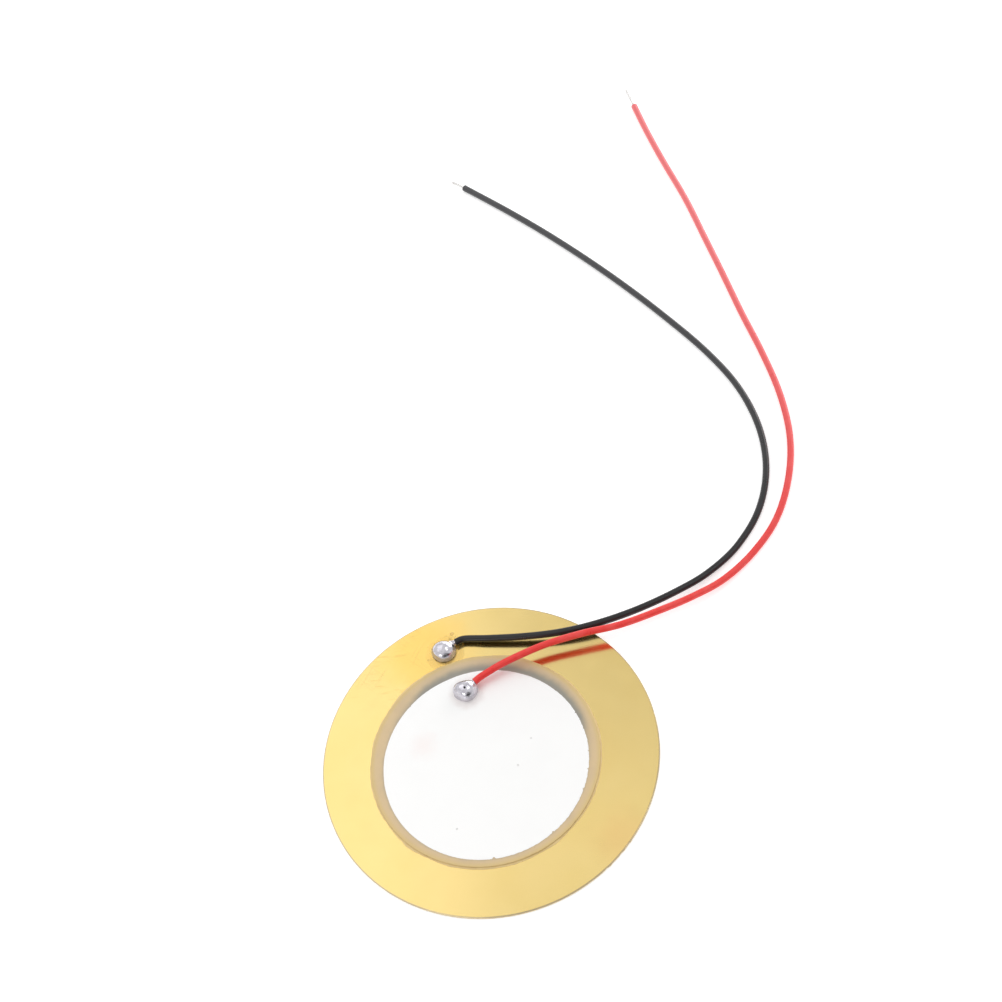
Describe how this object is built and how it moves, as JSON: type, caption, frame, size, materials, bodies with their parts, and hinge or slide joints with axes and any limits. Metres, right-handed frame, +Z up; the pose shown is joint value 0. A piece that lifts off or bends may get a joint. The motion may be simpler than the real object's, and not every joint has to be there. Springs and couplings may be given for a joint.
{
  "type": "piezo disc",
  "caption": "Round piezo disc: a silvered ceramic bonded to a brass plate, with soldered red and black leads for sensing a knock or making a tone.",
  "frame": {"origin": "centre of the brass plate's underside, on the surface that it lies on", "axes": "+Z up out of the ceramic's face, +Y towards the free ends of the leads, +X to the right of them"},
  "size_m": [0.0514, 0.1094, 0.0026],
  "materials": {
    "brass": "rolled sheet, fairly bright",
    "adhesive": "cured glue line",
    "silver_print": "matt fired silver print",
    "ceramic": "bare fired ceramic, satin",
    "solder": "bright frozen solder",
    "tinned_copper": "tinned strands",
    "black_insulation": "soft vinyl, semi-gloss",
    "red_insulation": "soft vinyl, semi-gloss"
  },
  "bodies": {
    "root": {"brass_plate": "brass", "adhesive_film": "adhesive", "back_electrode": "silver_print", "ceramic_disc": "ceramic", "front_electrode": "silver_print", "plate_solder": "solder", "electrode_solder": "solder", "black_conductor": "tinned_copper", "black_insulation": "black_insulation", "red_conductor": "tinned_copper", "red_insulation": "red_insulation"}
  },
  "joints": []
}
